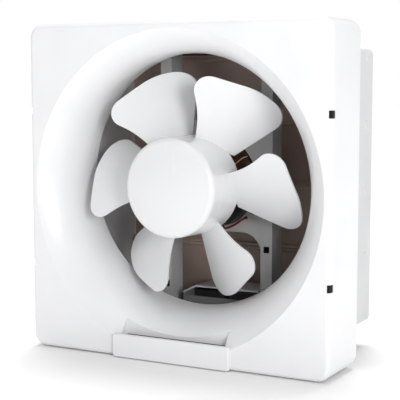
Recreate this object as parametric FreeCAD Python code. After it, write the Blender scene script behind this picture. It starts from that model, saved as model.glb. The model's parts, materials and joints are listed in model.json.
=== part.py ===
import FreeCAD, Part
import math
import os
from FreeCAD import Matrix, Vector

# A square wall exhaust fan with a bell-mouth panel, a six-bladed impeller, an open motor and four louvres.
# Lengths are millimetres. +Z is up, the panel faces -Y, and y = 0 is the face of the wall.

# Shared clearances
cut_overrun = 5.0
fit_gap = 0.3
running_gap = 0.05
link_gap = 0.2

# Front panel
panel_width = 340.0
panel_depth = 71.0
panel_corner_radius = 14.0
panel_edge_radius = 5.0
panel_wall = 2.5
mouth_margin = 7.0
throat_radius = 131.5
throat_length = 8.0
throat_setback = 4.0
throat_rise = 10.0
axis_rise = 6.0
pocket_width = 120.0
pocket_depth = 14.0
pocket_reach = 12.0
notch_width = 3.5
notch_depth = 8.0
notch_height = 7.5
notch_spacing = 161.0

# Grip bar on the panel's lower edge
bar_width = 134.0
bar_height = 24.0
bar_proud = 4.0
bar_corner_radius = 3.0
bar_edge_radius = 1.5

# Wall housing with its flange and snap tabs
flange_reach = 25.0
housing_depth = 105.0
housing_wall = 2.5
housing_corner_radius = 6.0
flange_thickness = 3.0
wall_screw_inset = 14.0
wall_screw_hole_radius = 2.75
tab_width = 16.0
tab_length = 14.0
tab_wall = 2.0
hook_height = 1.2
hook_length = 4.0

# Motor bracket: two channel posts and an arched plate
post_spacing = 120.0
post_width = 13.0
post_depth = 24.0
post_front = 25.0
post_wall = 2.2
post_hole = 7.0
post_hole_drops = (70.0, 115.0)
plate_thickness = 3.0
plate_setback = 1.0
plate_drop = 53.0
plate_climb = 64.0
arch_radius = 22.0
foot_length = 16.0
foot_width = 18.0
foot_thickness = 2.5
bracket_screw_radius = 2.0
bracket_screw_head_radius = 4.0
bracket_screw_head_height = 2.4

# Motor
bell_radius = 48.0
bell_wall = 2.2
bell_lap = 4.0
front_rim_length = 16.0
rear_rim_length = 12.0
bell_window_angle = 52.0
bell_window_inner_radius = 26.0
boss_radius = 12.0
boss_length = 9.0
core_length = 20.0
core_bore_radius = 25.0
slot_count = 16
slot_width = 4.0
slot_depth = 11.0
slot_lip = 1.5
winding_inner_radius = 29.0
winding_outer_radius = 45.2
front_winding_length = 12.5
rear_winding_length = 9.5
winding_round = 4.0
lug_count = 3
lug_circle_radius = 54.5
lug_radius = 5.5
lug_length = 6.0
bolt_radius = 2.0
bolt_head_radius = 3.6
bolt_head_height = 2.6
nut_width = 7.0
nut_height = 3.2
bearing_radius = 8.0
retainer_wall = 1.0
shaft_radius = 4.0
shaft_front_reach = 71.0
shaft_rear_reach = 4.0
air_gap = 0.4
end_ring_length = 4.0
end_ring_inner_radius = 13.0
end_ring_outer_radius = 22.0
thrust_washer_radius = 7.0
thrust_washer_thickness = 1.2

# Impeller
hub_front = 70.0
hub_rear = 20.0
hub_front_radius = 50.0
hub_rear_radius = 51.0
hub_wall = 2.4
hub_web_recess = 8.0
hub_boss_radius = 9.0
hub_boss_rear = 12.0
hub_rib_count = 6
hub_rib_thickness = 1.8
cap_height = 10.0
cap_dome_rise = 4.5
cap_shoulder_radius = 43.5
cap_rim_length = 3.0
blade_count = 6
blade_tip_radius = 119.5
blade_thickness = 2.2
blade_axial_place = 29.5
blade_half_chord = 62.0
blade_camber_rise = 13.0
blade_root_angle = 36.0
blade_tip_angle = 31.6
blade_start_angle = -1.0
drive_pin_radius = 1.5
drive_pin_length = 15.0
drive_pin_place = 15.0
impeller_nut_width = 13.0
impeller_nut_height = 6.0
impeller_washer_radius = 8.0
impeller_washer_thickness = 1.2

# Louvres and their tie rod
louvre_count = 4
louvre_setback = 17.0
louvre_top_drop = 7.0
louvre_bottom_drop = 1.2
louvre_thickness = 1.6
louvre_lean = 5.5
louvre_bow = 2.0
louvre_lap = 0.5
louvre_end_gap = 0.7
louvre_lip_height = 5.0
lip_notch_gap = 2.0
louvre_barrel_radius = 2.6
louvre_pin_radius = 1.8
crank_place = 116.0
crank_length = 20.0
crank_thickness = 2.5
crank_radius = 3.6
crank_pin_radius = 1.5
crank_pin_head_radius = 2.4
crank_pin_head_length = 1.0
rod_width = 6.0
rod_thickness = 3.0
rod_side_gap = 0.5

# Terminal box on the housing floor
tray_left = 40.0
tray_right = 51.0
tray_depth = 42.0
tray_height = 32.5
tray_wall = 2.0
tray_front_height = 22.0
cover_thickness = 1.8
cover_overhang = 2.0
cover_gusset_run = 16.0
cover_gusset_drop = 8.0
lead_port_radius = 4.5
block_length = 38.0
block_width = 15.0
block_height = 13.0
block_ways = 4
block_barrier = 1.6
block_well_depth = 4.0
terminal_screw_radius = 2.4
terminal_screw_height = 2.0
capacitor_length = 37.0
capacitor_width = 15.0
capacitor_height = 24.0
capacitor_round = 2.0
grommet_bore_radius = 4.0
grommet_neck_radius = 7.0
grommet_flange_radius = 9.5
grommet_flange = 2.0
grommet_inset = 12.0

# Motor leads and the clip that holds them on a post
lead_radius = 1.1
lead_spacing = 3.6
lead_hole_radius = 1.8
lead_bend_room = 7.0
clip_height = 8.0
clip_drop = 92.0
lead_start_angle = -75.0
lead_hole_angle = -46.0

# Shares of the sizes that the outlines follow
blade_outline_shares = (
    (0.318, 0.1),
    (0.6, 0.188),
    (0.895, 0.408),
    (1.005, -0.117),
    (0.912, -0.4),
    (0.318, -0.137),
)
blade_corner_shares = (0, 0.8, 0.125, 0.42, 0.155, 0)
blade_sheet_share = 1.4
cap_shoulder_shares = (0.77, 0.37)
dome_middle_share = 0.5
bell_face_round_share = 0.3
lead_bend_share = 0.45

# Places worked out from the sizes above
half_panel = panel_width / 2
mouth_radius = half_panel - mouth_margin
half_housing = half_panel - flange_reach
half_screws = half_panel - wall_screw_inset
duct_seam = half_housing - housing_corner_radius
half_inside = half_housing - housing_wall
half_flange = half_panel - panel_wall - fit_gap
plate_front = post_front + plate_setback
plate_rear = plate_front + plate_thickness
core_front = plate_front + bell_lap
core_rear = core_front + core_length
front_rim = core_front - front_rim_length
front_face = front_rim - bell_wall
rear_rim = core_rear + rear_rim_length
rear_face = rear_rim + bell_wall
post_centre = post_spacing / 2
post_inner = post_centre - post_width / 2
post_outer = post_centre + post_width / 2
bar_top = -half_panel + bar_height
louvre_top = half_inside - louvre_top_drop
louvre_pitch = (louvre_top + half_inside - louvre_bottom_drop) / louvre_count
louvre_axis_place = housing_depth - louvre_setback
louvre_half_length = half_inside - louvre_end_gap
rod_place = crank_place + crank_thickness + rod_side_gap
tray_front = post_front + post_wall
tray_top = -half_inside + tray_height

UP = Vector(0, 0, 1)
REAR = Vector(0, 1, 0)
RIGHT = Vector(1, 0, 0)
CENTRE = Vector(0, 0, 0)


def box(x_span, y_span, z_span):
    """A block between two values on each axis."""
    low = Vector(min(x_span), min(y_span), min(z_span))
    high = Vector(max(x_span), max(y_span), max(z_span))
    size = high - low
    return Part.makeBox(size.x, size.y, size.z, low)


def rod_along_y(radius, y_span, x=0, z=0):
    """A round bar along Y."""
    return Part.makeCylinder(radius, y_span[1] - y_span[0], Vector(x, y_span[0], z), REAR)


def rod_along_x(radius, x_span, y, z):
    """A round bar along X."""
    return Part.makeCylinder(radius, x_span[1] - x_span[0], Vector(x_span[0], y, z), RIGHT)


def rod_along_z(radius, z_span, x, y):
    """A round bar along Z."""
    return Part.makeCylinder(radius, z_span[1] - z_span[0], Vector(x, y, z_span[0]), UP)


def on_axis(shape):
    """Lifts a piece made about the Y axis to the fan's own axis."""
    return shape.translated(Vector(0, 0, axis_rise))


def spun(shape, angle, z=0):
    """Turns a shape about a Y axis, counter-clockwise as the room sees it."""
    copy = shape.copy()
    copy.rotate(Vector(0, 0, z), REAR, -angle)
    return copy


def rounded_wire(points, radii, place):
    """A closed outline of straight runs, with an arc of the given radius at each point."""
    count = len(points)
    starts = []
    ends = []
    middles = []
    for i in range(count):
        corner = Vector(points[i][0], points[i][1], 0)
        before = (Vector(points[i - 1][0], points[i - 1][1], 0) - corner).normalize()
        after = (Vector(points[(i + 1) % count][0], points[(i + 1) % count][1], 0) - corner).normalize()
        half_turn = before.getAngle(after) / 2
        bisector = (before + after).normalize()
        reach = radii[i] / math.tan(half_turn)
        centre = corner + bisector * (radii[i] / math.sin(half_turn))
        starts.append(corner + before * reach)
        ends.append(corner + after * reach)
        middles.append(centre - bisector * radii[i])
    edges = []
    for i in range(count):
        if radii[i] > 0:
            arc = Part.Arc(place(starts[i]), place(middles[i]), place(ends[i]))
            edges.append(arc.toShape())
        edges.append(Part.makeLine(place(ends[i]), place(starts[(i + 1) % count])))
    return Part.Wire(edges)


def on_front(y):
    """Places an outline point (x, z) on the plane at y."""
    return lambda p: Vector(p.x, y, p.y)


def prism_y(points, radii, y_span):
    """An outline in X and Z, extruded along Y."""
    face = Part.Face(rounded_wire(points, radii, on_front(y_span[0])))
    return face.extrude(Vector(0, y_span[1] - y_span[0], 0))


def square_prism(half, radius, y_span):
    """A square block about the Y axis with rounded corners."""
    corners = [(-half, -half), (half, -half), (half, half), (-half, half)]
    return prism_y(corners, [radius] * len(corners), y_span)


def turned(edges):
    """Revolves a closed profile of radius and y about the Y axis."""
    face = Part.Face(Part.Wire(edges))
    return face.revolve(CENTRE, REAR, 360)


def turned_ring(inner, outer, y_span, rounding=0):
    """A ring about the Y axis, with rounded corners in its section."""
    points = [(inner, y_span[0]), (outer, y_span[0]), (outer, y_span[1]), (inner, y_span[1])]
    wire = rounded_wire(points, [rounding] * len(points), lambda p: Vector(p.x, p.y, 0))
    return Part.Face(wire).revolve(CENTRE, REAR, 360)


def polyline(points):
    """Straight edges through profile points of radius and y, closed."""
    corners = [Vector(r, y, 0) for r, y in points]
    return [Part.makeLine(a, b) for a, b in zip(corners, corners[1:] + corners[:1])]


def hexagon(width, y_span):
    """A six-sided nut blank about the Y axis."""
    radius = width / math.sqrt(3)
    points = []
    for k in range(6):
        angle = math.radians(60 * k)
        points.append((radius * math.cos(angle), radius * math.sin(angle)))
    return prism_y(points, [0] * len(points), y_span)


def tube_along(points, radius):
    """A round tube whose straight runs are joined by arcs as large as the runs allow."""
    corners = [Vector(*p) for p in points]
    edges = []
    start = corners[0]
    for i in range(1, len(corners) - 1):
        before = corners[i - 1] - corners[i]
        after = corners[i + 1] - corners[i]
        reach = lead_bend_share * min(before.Length, after.Length)
        before.normalize()
        after.normalize()
        half_turn = before.getAngle(after) / 2
        bisector = (before + after).normalize()
        bend = reach * math.tan(half_turn)
        middle = corners[i] + bisector * (bend / math.sin(half_turn) - bend)
        enter = corners[i] + before * reach
        leave = corners[i] + after * reach
        edges.append(Part.makeLine(start, enter))
        edges.append(Part.Arc(enter, middle, leave).toShape())
        start = leave
    edges.append(Part.makeLine(start, corners[-1]))
    path = Part.Wire(edges)
    section = Part.Wire(Part.makeCircle(radius, corners[0], corners[1] - corners[0]))
    return path.makePipeShell([section], True, False)


def bell_arc(offset):
    """The funnel's arc, from the mouth to the throat, and its two ends, moved outwards by an offset."""
    drop = mouth_radius - throat_radius
    run = panel_depth - throat_length - throat_setback
    turn = 2 * math.atan(drop / run)
    radius = run / math.sin(turn)
    centre = Vector(throat_radius + radius, -throat_length - throat_setback, 0)
    ends = []
    for angle in (turn, turn / 2, 0):
        direction = Vector(-math.cos(angle), -math.sin(angle), 0)
        ends.append(centre + direction * (radius - offset))
    return ends


def tilted_funnel(shape):
    """Shifts a turned funnel upwards with depth, so that its throat sits above the panel's centre."""
    slope = throat_rise / (panel_depth - throat_setback)
    shear = Matrix()
    shear.A32 = slope
    shear.A34 = slope * panel_depth
    return shape.transformGeometry(shear)


def funnel_wall():
    """The wall of the bell mouth."""
    mouth, middle, throat = bell_arc(0)
    outer_mouth, outer_middle, outer_throat = bell_arc(panel_wall)
    throat_end = Vector(throat_radius, -throat_setback, 0)
    outer_end = Vector(throat_radius + panel_wall, -throat_setback, 0)
    edges = [
        Part.Arc(mouth, middle, throat).toShape(),
        Part.makeLine(throat, throat_end),
        Part.makeLine(throat_end, outer_end),
        Part.makeLine(outer_end, outer_throat),
        Part.Arc(outer_throat, outer_middle, outer_mouth).toShape(),
        Part.makeLine(outer_mouth, mouth),
    ]
    return tilted_funnel(turned(edges))


def funnel_space(offset):
    """The space inside the bell mouth, or inside its outer skin at an offset, run out past both ends."""
    mouth = bell_arc(0)[0]
    skin_mouth, middle, throat = bell_arc(offset)
    front = -panel_depth - cut_overrun
    corners = [
        Vector(throat_radius + offset, cut_overrun, 0),
        Vector(0, cut_overrun, 0),
        Vector(0, front, 0),
        Vector(mouth_radius, front, 0),
        mouth,
    ]
    if offset > 0:
        corners.append(skin_mouth)
    edges = [Part.Arc(skin_mouth, middle, throat).toShape(), Part.makeLine(throat, corners[0])]
    edges += [Part.makeLine(a, b) for a, b in zip(corners, corners[1:])]
    return tilted_funnel(turned(edges))


def pocket_cut(low):
    """The finger pocket's hollow, from a level behind the bar up into the airway."""
    half_pocket = pocket_width / 2
    return box(
        (-half_pocket, half_pocket),
        (-panel_depth - cut_overrun, -panel_depth + pocket_depth),
        (low, -throat_radius),
    )


def bell_mouth():
    """The funnel from the panel's face to the throat, open at the finger pocket."""
    return funnel_wall().cut(pocket_cut(-half_panel))


def panel_envelope():
    """The panel's outer form with its soft front edge."""
    block = square_prism(half_panel, panel_corner_radius, (-panel_depth, 0))
    front = [e for e in block.Edges if all(v.Y < -panel_depth / 2 for v in e.Vertexes)]
    return block.makeFillet(panel_edge_radius, front)


def snap_places():
    """Side and height of each snap between panel and flange."""
    return [(side, level) for side in (-1, 1) for level in (-notch_spacing / 2, notch_spacing / 2)]


def front_panel():
    """A moulded shell: front face, side walls, finger pocket, edge notches and snap recesses."""
    cavity_radius = panel_corner_radius - panel_wall
    cavity = square_prism(half_panel - panel_wall, cavity_radius, (-panel_depth + panel_wall, cut_overrun))
    shell = panel_envelope().cut(cavity)
    half_tub = pocket_width / 2 + panel_wall
    tub = box(
        (-half_tub, half_tub),
        (-panel_depth + panel_wall, -panel_depth + pocket_depth + panel_wall),
        (-half_panel + panel_wall, -throat_radius),
    )
    panel = shell.fuse(tub).cut([funnel_space(panel_wall), pocket_cut(bar_top - pocket_reach)])
    recess_front = -flange_thickness - tab_length - fit_gap
    cuts = []
    for side, level in snap_places():
        cuts.append(box(
            (side * (half_panel - notch_width), side * (half_panel + cut_overrun)),
            (-panel_depth - cut_overrun, -panel_depth + notch_depth),
            (level - notch_height / 2, level + notch_height / 2),
        ))
        cuts.append(box(
            (side * (half_panel - panel_wall - cut_overrun), side * (half_flange + hook_height + fit_gap)),
            (recess_front, recess_front + hook_length + 2 * fit_gap),
            (level - tab_width / 2 - fit_gap, level + tab_width / 2 + fit_gap),
        ))
    return panel.cut(cuts).removeSplitter()


def grip_bar():
    """The raised bar below the pocket, its back following the panel's front and lower edge."""
    corners = [
        (-bar_width / 2, -half_panel),
        (bar_width / 2, -half_panel),
        (bar_width / 2, bar_top),
        (-bar_width / 2, bar_top),
    ]
    front = -panel_depth - bar_proud
    block = prism_y(corners, [bar_corner_radius] * len(corners), (front, -panel_depth + panel_edge_radius))
    face_edges = [e for e in block.Edges if all(v.Y < front / 2 - panel_depth / 2 for v in e.Vertexes)]
    return block.makeFillet(bar_edge_radius, face_edges).cut(panel_envelope())


def snap_tab(side, level):
    """A tab on the flange with a hook that enters the panel's recess."""
    tip = -flange_thickness - tab_length
    outer = side * half_flange
    z_span = (level - tab_width / 2, level + tab_width / 2)
    blade = box((outer - side * tab_wall, outer), (tip, 0), z_span)
    nose = [
        Vector(outer, tip, z_span[0]),
        Vector(outer + side * hook_height, tip + hook_length, z_span[0]),
        Vector(outer, tip + hook_length, z_span[0]),
    ]
    hook = Part.Face(Part.makePolygon(nose + nose[:1])).extrude(Vector(0, 0, tab_width))
    return blade.fuse(hook)


def louvre_levels():
    """Height of each louvre's axis, from the top one down."""
    return [louvre_top - k * louvre_pitch for k in range(louvre_count)]


def grommet_place():
    """Where the cable comes through the housing floor."""
    return tray_right - grommet_inset, tray_front + tray_depth - grommet_inset


def foot_places():
    """Centre of each bracket foot on the housing's floor and ceiling."""
    x = post_outer + foot_length / 2
    y = post_front + post_depth / 2
    return [(side * x, y, end) for side in (-1, 1) for end in (-1, 1)]


def wall_flange():
    """The square mounting flange, with its screw holes and the snap tabs for the panel."""
    plate = square_prism(half_flange, panel_corner_radius - panel_wall, (-flange_thickness, 0))
    tabs = [snap_tab(side, level) for side, level in snap_places()]
    span = (-flange_thickness - cut_overrun, cut_overrun)
    holes = [square_prism(half_housing, housing_corner_radius, span)]
    for x in (-half_screws, half_screws):
        for z in (-half_screws, half_screws):
            holes.append(rod_along_y(wall_screw_hole_radius, span, x, z))
    return plate.fuse(tabs).cut(holes).removeSplitter()


def duct():
    """The square duct, from the flange's front face to its open rear end."""
    outer = square_prism(half_housing, housing_corner_radius, (-flange_thickness, housing_depth))
    bore_span = (-flange_thickness - cut_overrun, housing_depth + cut_overrun)
    return outer.cut(square_prism(half_inside, housing_corner_radius - housing_wall, bore_span))


def duct_side(side):
    """The left or right wall of the duct, with a bearing hole for each louvre."""
    reach = half_housing + cut_overrun
    x_span = (side * (half_inside - cut_overrun), side * reach)
    y_span = (-flange_thickness - cut_overrun, housing_depth + cut_overrun)
    wall = duct().common(box(x_span, y_span, (-duct_seam, duct_seam)))
    holes = []
    for level in louvre_levels():
        holes.append(rod_along_x(louvre_pin_radius + running_gap, sorted(x_span), louvre_axis_place, level))
    return wall.cut(holes)


def duct_end(end):
    """The top or bottom wall of the duct, with rounded corners; the cable enters at the bottom."""
    reach = half_housing + cut_overrun
    z_span = (end * duct_seam, end * reach)
    y_span = (-flange_thickness - cut_overrun, housing_depth + cut_overrun)
    wall = duct().common(box((-reach, reach), y_span, z_span))
    hole_span = sorted((end * (half_inside - cut_overrun), end * reach))
    holes = []
    for x, y, foot_end in foot_places():
        if foot_end == end:
            holes.append(rod_along_z(bracket_screw_radius + running_gap, hole_span, x, y))
    if end < 0:
        x, y = grommet_place()
        holes.append(rod_along_z(grommet_neck_radius, hole_span, x, y))
    return wall.cut(holes)


def lug_angles():
    """Angle of each lug on the motor's end bells, one of them straight up."""
    return [90 + 360 / lug_count * k for k in range(lug_count)]


def lug_place(angle):
    """Centre of a lug about the fan's axis."""
    turn = math.radians(angle)
    return lug_circle_radius * math.cos(turn), lug_circle_radius * math.sin(turn)


def motor_bracket():
    """Two channel posts with feet, joined by a plate whose openings are arched at the motor."""
    rear = post_front + post_depth
    sheet = box((-post_outer, post_outer), (plate_front, plate_rear), (-half_inside, half_inside))
    span = (plate_front - cut_overrun, plate_rear + cut_overrun)
    below = [(-post_inner, -half_inside - cut_overrun), (post_inner, -half_inside - cut_overrun)]
    below += [(post_inner, axis_rise - plate_drop), (-post_inner, axis_rise - plate_drop)]
    above = [(-post_inner, axis_rise + plate_climb), (post_inner, axis_rise + plate_climb)]
    above += [(post_inner, half_inside + cut_overrun), (-post_inner, half_inside + cut_overrun)]
    windows = [
        prism_y(below, [0, 0, arch_radius, arch_radius], span),
        prism_y(above, [arch_radius, arch_radius, 0, 0], span),
    ]
    posts = []
    hollows = []
    for side in (-1, 1):
        x_span = (side * post_inner, side * post_outer)
        posts.append(box(x_span, (post_front, rear), (-half_inside, half_inside)))
        hollow_x = (side * (post_inner + post_wall), side * (post_outer - post_wall))
        hollow_y = (post_front + post_wall, rear + cut_overrun)
        hollows.append(box(hollow_x, hollow_y, (-half_inside, half_inside)))
        for drop in post_hole_drops:
            level = axis_rise - drop
            hole_x = (side * post_centre - post_hole / 2, side * post_centre + post_hole / 2)
            hole_z = (level - post_hole / 2, level + post_hole / 2)
            hole_y = (post_front - cut_overrun, post_front + post_wall + cut_overrun)
            hollows.append(box(hole_x, hole_y, hole_z))
    feet = []
    for x, y, end in foot_places():
        foot_x = (x - foot_length / 2, x + foot_length / 2)
        foot_y = (y - foot_width / 2, y + foot_width / 2)
        foot = box(foot_x, foot_y, (end * (half_inside - foot_thickness), end * half_inside))
        inner = half_inside - foot_thickness - cut_overrun
        span_z = sorted((end * inner, end * (half_inside + cut_overrun)))
        feet.append(foot.cut(rod_along_z(bracket_screw_radius + running_gap, span_z, x, y)))
    bores = [on_axis(rod_along_y(bell_radius + fit_gap, span))]
    for angle in lug_angles():
        x, z = lug_place(angle)
        bores.append(on_axis(rod_along_y(bolt_radius + running_gap, span, x, z)))
    hole = lead_circle(lead_hole_angle)
    bores.append(rod_along_y(lead_hole_radius, span, hole.x, hole.z))
    plate = sheet.cut(windows + bores)
    return plate.fuse(posts).cut(hollows).fuse(feet).removeSplitter()


def pan_head(radius, height):
    """A domed screw head above z = 0, with a straight slot."""
    ball_radius = (radius * radius + height * height) / (2 * height)
    dome = Part.makeSphere(ball_radius, Vector(0, 0, height - ball_radius))
    head = dome.common(Part.makeCylinder(radius, height))
    slot = box((-radius, radius), (-height / 4, height / 4), (height / 2, height + cut_overrun))
    return head.cut(slot)


def bracket_screws():
    """The four screws through the bracket's feet."""
    screws = []
    for x, y, end in foot_places():
        length = foot_thickness + housing_wall
        shank = Part.makeCylinder(bracket_screw_radius, length, Vector(0, 0, -length))
        screw = pan_head(bracket_screw_head_radius, bracket_screw_head_height).fuse(shank)
        if end > 0:
            screw.rotate(CENTRE, RIGHT, 180)
        screw.translate(Vector(x, y, end * (half_inside - foot_thickness)))
        screws.append(screw)
    return Part.makeCompound(screws)


def bell_window(y_span):
    """A sector that opens an end bell between two lugs."""
    length = y_span[1] - y_span[0]
    foot = Vector(0, y_span[0], 0)
    ring = Part.makeCylinder(bell_radius + cut_overrun, length, foot, REAR, bell_window_angle)
    ring = ring.cut(rod_along_y(bell_window_inner_radius, y_span))
    first = ring.Solids[0].CenterOfMass
    start = math.degrees(math.atan2(first.z, first.x))
    return [spun(ring, angle + 180 - start) for angle in lug_angles()]


def end_bell(face, rim, boss_end, lug_span):
    """One end bell from its face to its rim: a cup with a bearing boss, three lugs and three windows."""
    inward = 1 if rim > face else -1
    inner_face = face + inward * bell_wall
    cup = turned_ring(bell_radius - bell_wall, bell_radius, sorted((inner_face, rim)))
    disc = rod_along_y(bell_radius, sorted((face, inner_face)))
    rim_edges = [e for e in disc.Edges if abs(e.CenterOfMass.y - face) < bell_wall / 3]
    disc = disc.makeFillet(bell_wall * bell_face_round_share, rim_edges)
    boss = rod_along_y(boss_radius, sorted((boss_end, inner_face)))
    lugs = []
    holes = [rod_along_y(bearing_radius, sorted((boss_end - inward * cut_overrun, rim)))]
    for angle in lug_angles():
        x, z = lug_place(angle)
        neck = box((bell_radius - bell_wall, lug_circle_radius), lug_span, (-lug_radius, lug_radius))
        lug = rod_along_y(lug_radius, lug_span, x, z).fuse(spun(neck, angle))
        lugs.append(lug.cut(rod_along_y(bell_radius - bell_wall / 2, lug_span)))
        long_span = (lug_span[0] - cut_overrun, lug_span[1] + cut_overrun)
        holes.append(rod_along_y(bolt_radius + running_gap, long_span, x, z))
    windows = bell_window(sorted((face - inward * cut_overrun, rim - inward * bell_wall)))
    bell = cup.fuse([disc, boss]).cut(windows).fuse(lugs)
    return on_axis(bell.cut(holes).removeSplitter())


def stator_core():
    """The stack of laminations, with its slots open to the rotor."""
    span = (core_front, core_rear)
    ring = turned_ring(core_bore_radius, bell_radius, span)
    slots = []
    for k in range(slot_count):
        mouth_x = (core_bore_radius - cut_overrun, core_bore_radius + slot_depth)
        mouth = box(mouth_x, span, (-slot_lip / 2, slot_lip / 2))
        well_x = (core_bore_radius + slot_lip, core_bore_radius + slot_depth)
        well = box(well_x, span, (-slot_width / 2, slot_width / 2))
        slots.append(spun(mouth.fuse(well), 360 / slot_count * k))
    return on_axis(ring.cut(slots))


def winding(y_span):
    """A tied and varnished bundle of end turns on one face of the core."""
    return on_axis(turned_ring(winding_inner_radius, winding_outer_radius, y_span, winding_round))


def motor_bolts():
    """The through bolts, with their heads on the front bell's lugs."""
    bolts = []
    front = plate_front - lug_length
    rear = core_rear + lug_length + nut_height + bolt_radius
    for angle in lug_angles():
        x, z = lug_place(angle)
        head = pan_head(bolt_head_radius, bolt_head_height)
        head.rotate(CENTRE, RIGHT, 90)
        head.translate(Vector(x, front, z))
        bolts.append(on_axis(head.fuse(rod_along_y(bolt_radius, (front, rear), x, z))))
    return Part.makeCompound(bolts)


def motor_nuts():
    """The nuts behind the rear bell's lugs."""
    seat = core_rear + lug_length
    nuts = []
    for angle in lug_angles():
        x, z = lug_place(angle)
        thread = rod_along_y(bolt_radius, (seat - cut_overrun, seat + nut_height + cut_overrun))
        nut = hexagon(nut_width, (seat, seat + nut_height)).cut(thread)
        nuts.append(on_axis(nut.translated(Vector(x, 0, z))))
    return Part.makeCompound(nuts)


def bearing(y_span):
    """A plain bronze bush."""
    return on_axis(turned_ring(shaft_radius + running_gap, bearing_radius, y_span))


def bearing_retainer(boss_end, outward):
    """A pressed ring over the end of a bearing boss."""
    span = sorted((boss_end, boss_end + outward * retainer_wall))
    return on_axis(turned_ring(shaft_radius + fit_gap + running_gap, boss_radius, span))


def motor_shaft():
    """The shaft, with a flat at its front end for the nut's thread and a cross hole for the drive pin."""
    rear = rear_face + boss_length + retainer_wall + shaft_rear_reach
    shaft = rod_along_y(shaft_radius, (-shaft_front_reach, rear))
    pin = rod_along_z(drive_pin_radius, (-drive_pin_length, drive_pin_length), 0, -drive_pin_place)
    return on_axis(shaft.cut(pin))


def rotor_core():
    """The rotor's laminations."""
    return on_axis(turned_ring(shaft_radius, core_bore_radius - air_gap, (core_front, core_rear)))


def rotor_end_rings():
    """The cast rings that close the rotor's cage at both ends."""
    spans = [(core_front - end_ring_length, core_front), (core_rear, core_rear + end_ring_length)]
    rings = [turned_ring(end_ring_inner_radius, end_ring_outer_radius, span) for span in spans]
    return Part.makeCompound([on_axis(ring) for ring in rings])


def thrust_washers():
    """The washers on the shaft, next to each bearing."""
    front = front_rim + fit_gap
    rear = rear_rim - fit_gap
    spans = [(front, front + thrust_washer_thickness), (rear - thrust_washer_thickness, rear)]
    return Part.makeCompound([on_axis(turned_ring(shaft_radius, thrust_washer_radius, s)) for s in spans])


def blade_section(reach, angle):
    """The blade's cambered section at a distance from the axis."""
    slope = math.tan(math.radians(angle))
    depth = blade_thickness / math.cos(math.radians(angle))
    front = []
    back = []
    for way in (-1, 0, 1):
        across = way * blade_half_chord
        rise = abs(way) * blade_camber_rise
        level = -blade_axial_place - slope * across + rise
        front.append(Vector(reach, level - depth / 2, across))
        back.append(Vector(reach, level + depth / 2, across))
    edges = [
        Part.Arc(*front).toShape(),
        Part.makeLine(front[2], back[2]),
        Part.Arc(back[2], back[1], back[0]).toShape(),
        Part.makeLine(back[0], front[0]),
    ]
    return Part.Wire(edges)


def blade():
    """One paddle blade: a lofted, cambered sheet trimmed to the paddle's rounded outline."""
    sheet = Part.makeLoft(
        [
            blade_section(hub_front_radius - hub_wall, blade_root_angle),
            blade_section(blade_tip_radius * blade_sheet_share, blade_tip_angle),
        ],
        True,
        True,
    )
    points = [(u * blade_tip_radius, v * blade_tip_radius) for u, v in blade_outline_shares]
    radii = [share * blade_tip_radius for share in blade_corner_shares]
    outline = prism_y(points, radii, (-blade_axial_place - panel_depth, panel_depth))
    return sheet.common(outline)


def hub_cup():
    """The impeller's hub: a skirt, a web, a driving boss and ribs."""
    front = -hub_front
    rear = -hub_rear
    web = front + hub_web_recess
    skirt = turned(polyline([
        (hub_front_radius - hub_wall, front),
        (hub_front_radius, front),
        (hub_rear_radius, rear),
        (hub_rear_radius - hub_wall, rear),
    ]))
    disc = rod_along_y(hub_front_radius - hub_wall / 2, (web, web + hub_wall))
    boss = rod_along_y(hub_boss_radius, (web, -hub_boss_rear))
    ribs = []
    for k in range(hub_rib_count):
        rib_z = (-hub_rib_thickness / 2, hub_rib_thickness / 2)
        rib = box((0, hub_front_radius - hub_wall / 2), (web, rear - hub_wall), rib_z)
        ribs.append(spun(rib, 360 / hub_rib_count * k))
    return skirt.fuse([disc, boss] + ribs)


def impeller():
    """The moulded impeller, with six blades on its hub."""
    cup = hub_cup()
    blades = [spun(blade(), blade_start_angle + 360 / blade_count * k) for k in range(blade_count)]
    inside = turned(polyline([
        (0, -hub_front),
        (hub_front_radius - hub_wall / 2, -hub_front),
        (hub_rear_radius - hub_wall / 2, -hub_rear),
        (hub_rear_radius - hub_wall / 2, panel_depth),
        (0, panel_depth),
    ]))
    trimmed = [b.cut(inside) for b in blades]
    bore = rod_along_y(shaft_radius, (-hub_front - cut_overrun, cut_overrun))
    pin_reach = drive_pin_length / 2 + fit_gap
    slot_half = drive_pin_radius + running_gap
    slot_y = (-drive_pin_place - slot_half, cut_overrun)
    slot = box((-slot_half, slot_half), slot_y, (-pin_reach, pin_reach))
    return on_axis(cup.fuse(trimmed).cut([bore, slot]).removeSplitter())


def cap_profile(nose, shoulder_radius, rim_radius, rim):
    """The outline of the hub cap from its nose to its rim."""
    shoulder = nose + cap_dome_rise
    ball_radius = (shoulder_radius ** 2 + cap_dome_rise ** 2) / (2 * cap_dome_rise)
    middle_radius = shoulder_radius * dome_middle_share
    middle = nose + ball_radius - math.sqrt(ball_radius ** 2 - middle_radius ** 2)
    bulge_radius = shoulder_radius + (rim_radius - shoulder_radius) * cap_shoulder_shares[0]
    bulge = shoulder + (rim - shoulder) * cap_shoulder_shares[1]
    turn = Vector(shoulder_radius, shoulder, 0)
    dome = Part.Arc(Vector(0, nose, 0), Vector(middle_radius, middle, 0), turn)
    edge = Part.Arc(turn, Vector(bulge_radius, bulge, 0), Vector(rim_radius, rim, 0))
    return [dome.toShape(), edge.toShape()]


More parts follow.
